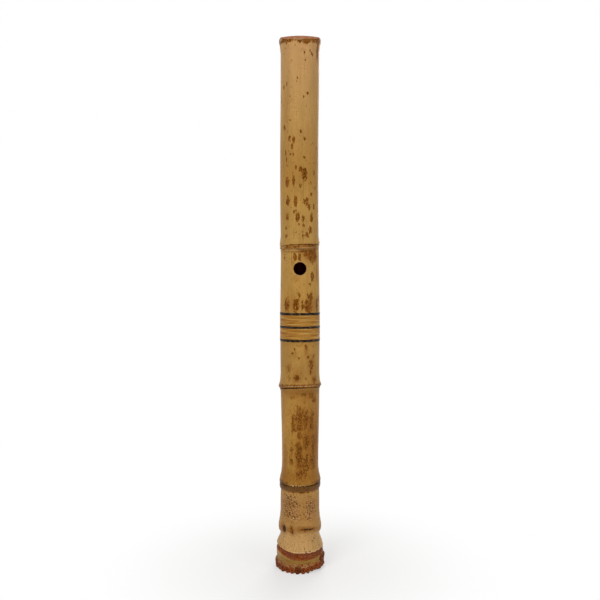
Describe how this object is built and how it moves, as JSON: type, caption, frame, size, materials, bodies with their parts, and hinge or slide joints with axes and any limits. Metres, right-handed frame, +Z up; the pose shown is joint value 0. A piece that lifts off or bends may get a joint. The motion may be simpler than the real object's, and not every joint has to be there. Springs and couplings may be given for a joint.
{
  "type": "shakuhachi",
  "caption": "End-blown bamboo flute with a root end, finger holes, a thumb hole and a rattan-bound middle joint where its halves twist and pull apart.",
  "frame": {"origin": "middle of the flute's outline, on the flat root end that it stands on", "axes": "+Z up the flute to the mouth end, -Y the back with the thumb hole, +Y the front with the finger holes and the blowing edge, +X to the right seen from the back"},
  "size_m": [0.0524, 0.053, 0.545],
  "materials": {
    "bamboo": "cured, hand-polished bamboo skin with brown mottling",
    "tenon_bamboo": "turned bamboo, thinly lacquered",
    "rattan": "split rattan, satin",
    "black_cord": "cord set in black lacquer",
    "red_lacquer": "dark red lacquer, glossy",
    "black_lacquer": "black lacquer, satin",
    "horn": "polished dark horn"
  },
  "bodies": {
    "lower_section": {"lower_culm": "bamboo", "lower_bore_lining": "red_lacquer", "lower_joint_cord": "black_cord", "lower_rattan_binding": "rattan", "lower_edge_cord": "black_cord"},
    "joint_tenon": {"tenon": "tenon_bamboo"},
    "upper_section": {"upper_culm": "bamboo", "upper_bore_lining": "red_lacquer", "socket_sleeve": "black_lacquer", "blowing_edge_inlay": "horn", "upper_joint_cord": "black_cord", "upper_rattan_binding": "rattan", "upper_edge_cord": "black_cord"}
  },
  "joints": [
    {"name": "middle_joint_twist", "type": "hinge", "parent": "lower_section", "child": "joint_tenon", "pos_m": [-0.00005, -0.00419, 0.25233], "axis": [0, 0, 1], "continuous": true},
    {"name": "middle_joint_slide", "type": "slide", "parent": "joint_tenon", "child": "upper_section", "axis": [0, 0, 1], "range_m": [0, 0.022]}
  ]
}
